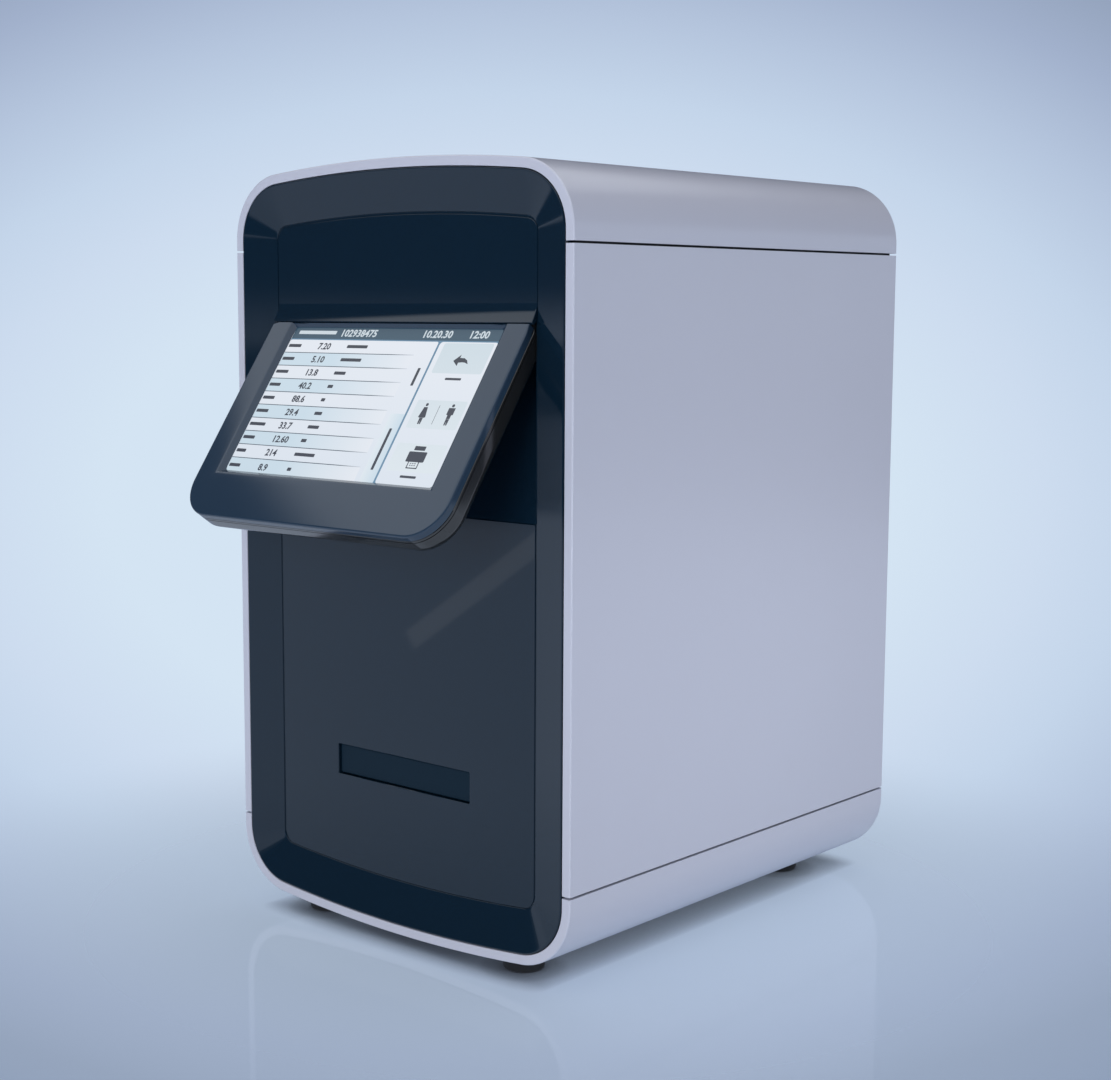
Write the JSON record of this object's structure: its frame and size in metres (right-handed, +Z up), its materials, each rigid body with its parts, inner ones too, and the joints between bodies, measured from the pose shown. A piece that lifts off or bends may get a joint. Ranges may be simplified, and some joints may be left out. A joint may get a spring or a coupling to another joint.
{
  "type": "hematology analyzer",
  "caption": "Benchtop blood analyser with a white arched case, dished black front, tilting touch display over a recessed brow, and a cartridge drawer.",
  "frame": {"origin": "centre of the footprint of the whole object, on the surface that the feet stand on", "axes": "+Z up, the front with the display faces -Y, +X to the right seen from the front"},
  "size_m": [0.2, 0.3, 0.3424],
  "materials": {
    "white_case": "satin painted",
    "gloss_black": "high gloss",
    "satin_black": "satin",
    "drawer_grey": "satin",
    "screen": "lit display behind glass",
    "clear_lens": "clear",
    "black_rubber": "matte",
    "steel": "zinc plated",
    "aluminium": "anodised",
    "brass": "machined",
    "circuit_board": "solder mask",
    "acetal": "moulded"
  },
  "bodies": {
    "case": {"top_cover": "white_case", "bottom_tray": "white_case", "left_side_panel": "white_case", "right_side_panel": "white_case", "rear_panel": "white_case", "foot_front_left": "black_rubber", "foot_front_right": "black_rubber", "foot_rear_left": "black_rubber", "foot_rear_right": "black_rubber", "foot_screw_front_left": "steel", "foot_screw_front_right": "steel", "foot_screw_rear_left": "steel", "foot_screw_rear_right": "steel", "front_frame": "gloss_black", "upper_fascia": "gloss_black", "lower_fascia": "gloss_black", "tilt_hinge_left": "steel", "tilt_hinge_right": "steel", "chassis_plate": "aluminium", "drawer_bed": "aluminium", "drawer_rail_left": "aluminium", "drawer_rail_right": "aluminium", "drawer_motor": "steel", "press_bridge": "aluminium", "press_motor": "steel", "microscope_post": "aluminium", "focus_rail": "steel", "focus_motor": "steel", "lamp_housing": "aluminium", "lamp_lens": "clear_lens", "board_bracket": "aluminium", "main_board": "circuit_board", "usb_port_lower": "steel", "usb_port_upper": "steel", "network_port": "steel", "supply_cover": "steel", "supply_board": "circuit_board", "power_inlet": "satin_black", "switch_frame": "satin_black", "fan_frame": "satin_black", "fan_guard": "steel"},
    "display": {"display_bezel": "gloss_black", "touch_glass": "screen", "display_housing": "satin_black", "lcd_panel": "aluminium", "display_board": "circuit_board", "tilt_pin_left": "steel", "tilt_pin_right": "steel"},
    "drawer": {"drawer_front": "drawer_grey", "drawer_tray": "acetal"},
    "pinion": {"drawer_pinion": "brass"},
    "press": {"press_head": "acetal"},
    "focus_stage": {"focus_carriage": "aluminium", "microscope_tube": "satin_black", "objective": "steel", "camera": "satin_black"},
    "focus_lead_screw": {"focus_screw": "steel"},
    "fan": {"fan_rotor": "satin_black"},
    "rocker": {"power_rocker": "satin_black"}
  },
  "joints": [
    {"name": "display_tilt", "type": "hinge", "parent": "case", "child": "display", "pos_m": [0, -0.08486, 0.26785], "axis": [1, 0, 0], "range_deg": [0, 25]},
    {"name": "drawer_slide", "type": "slide", "parent": "case", "child": "drawer", "axis": [0, -1, 0], "range_m": [0, 0.068]},
    {"name": "pinion_spin", "type": "hinge", "parent": "case", "child": "pinion", "pos_m": [0, -0.06361, 0.05633], "axis": [1, 0, 0], "range_deg": [0, 260]},
    {"name": "press_slide", "type": "slide", "parent": "case", "child": "press", "axis": [0, 0, -1], "range_m": [0, 0.005]},
    {"name": "focus_slide", "type": "slide", "parent": "case", "child": "focus_stage", "axis": [0, 0, 1], "range_m": [-0.001, 0.003]},
    {"name": "focus_turn", "type": "hinge", "parent": "case", "child": "focus_lead_screw", "pos_m": [0.018, 0.00529, 0.128], "axis": [0, 0, 1], "range_deg": [-180, 540]},
    {"name": "fan_spin", "type": "hinge", "parent": "case", "child": "fan", "pos_m": [-0.018, 0.12339, 0.25], "axis": [0, 1, 0], "continuous": true},
    {"name": "rocker_tilt", "type": "hinge", "parent": "case", "child": "rocker", "pos_m": [0.01, 0.14309, 0.096], "axis": [-1, 0, 0], "range_deg": [0, 14]}
  ],
  "couplings": [
    {"joint": "pinion_spin", "follows": "drawer_slide", "rad_per_m": 66.667},
    {"joint": "focus_turn", "follows": "focus_slide", "rad_per_m": 3141.6}
  ]
}
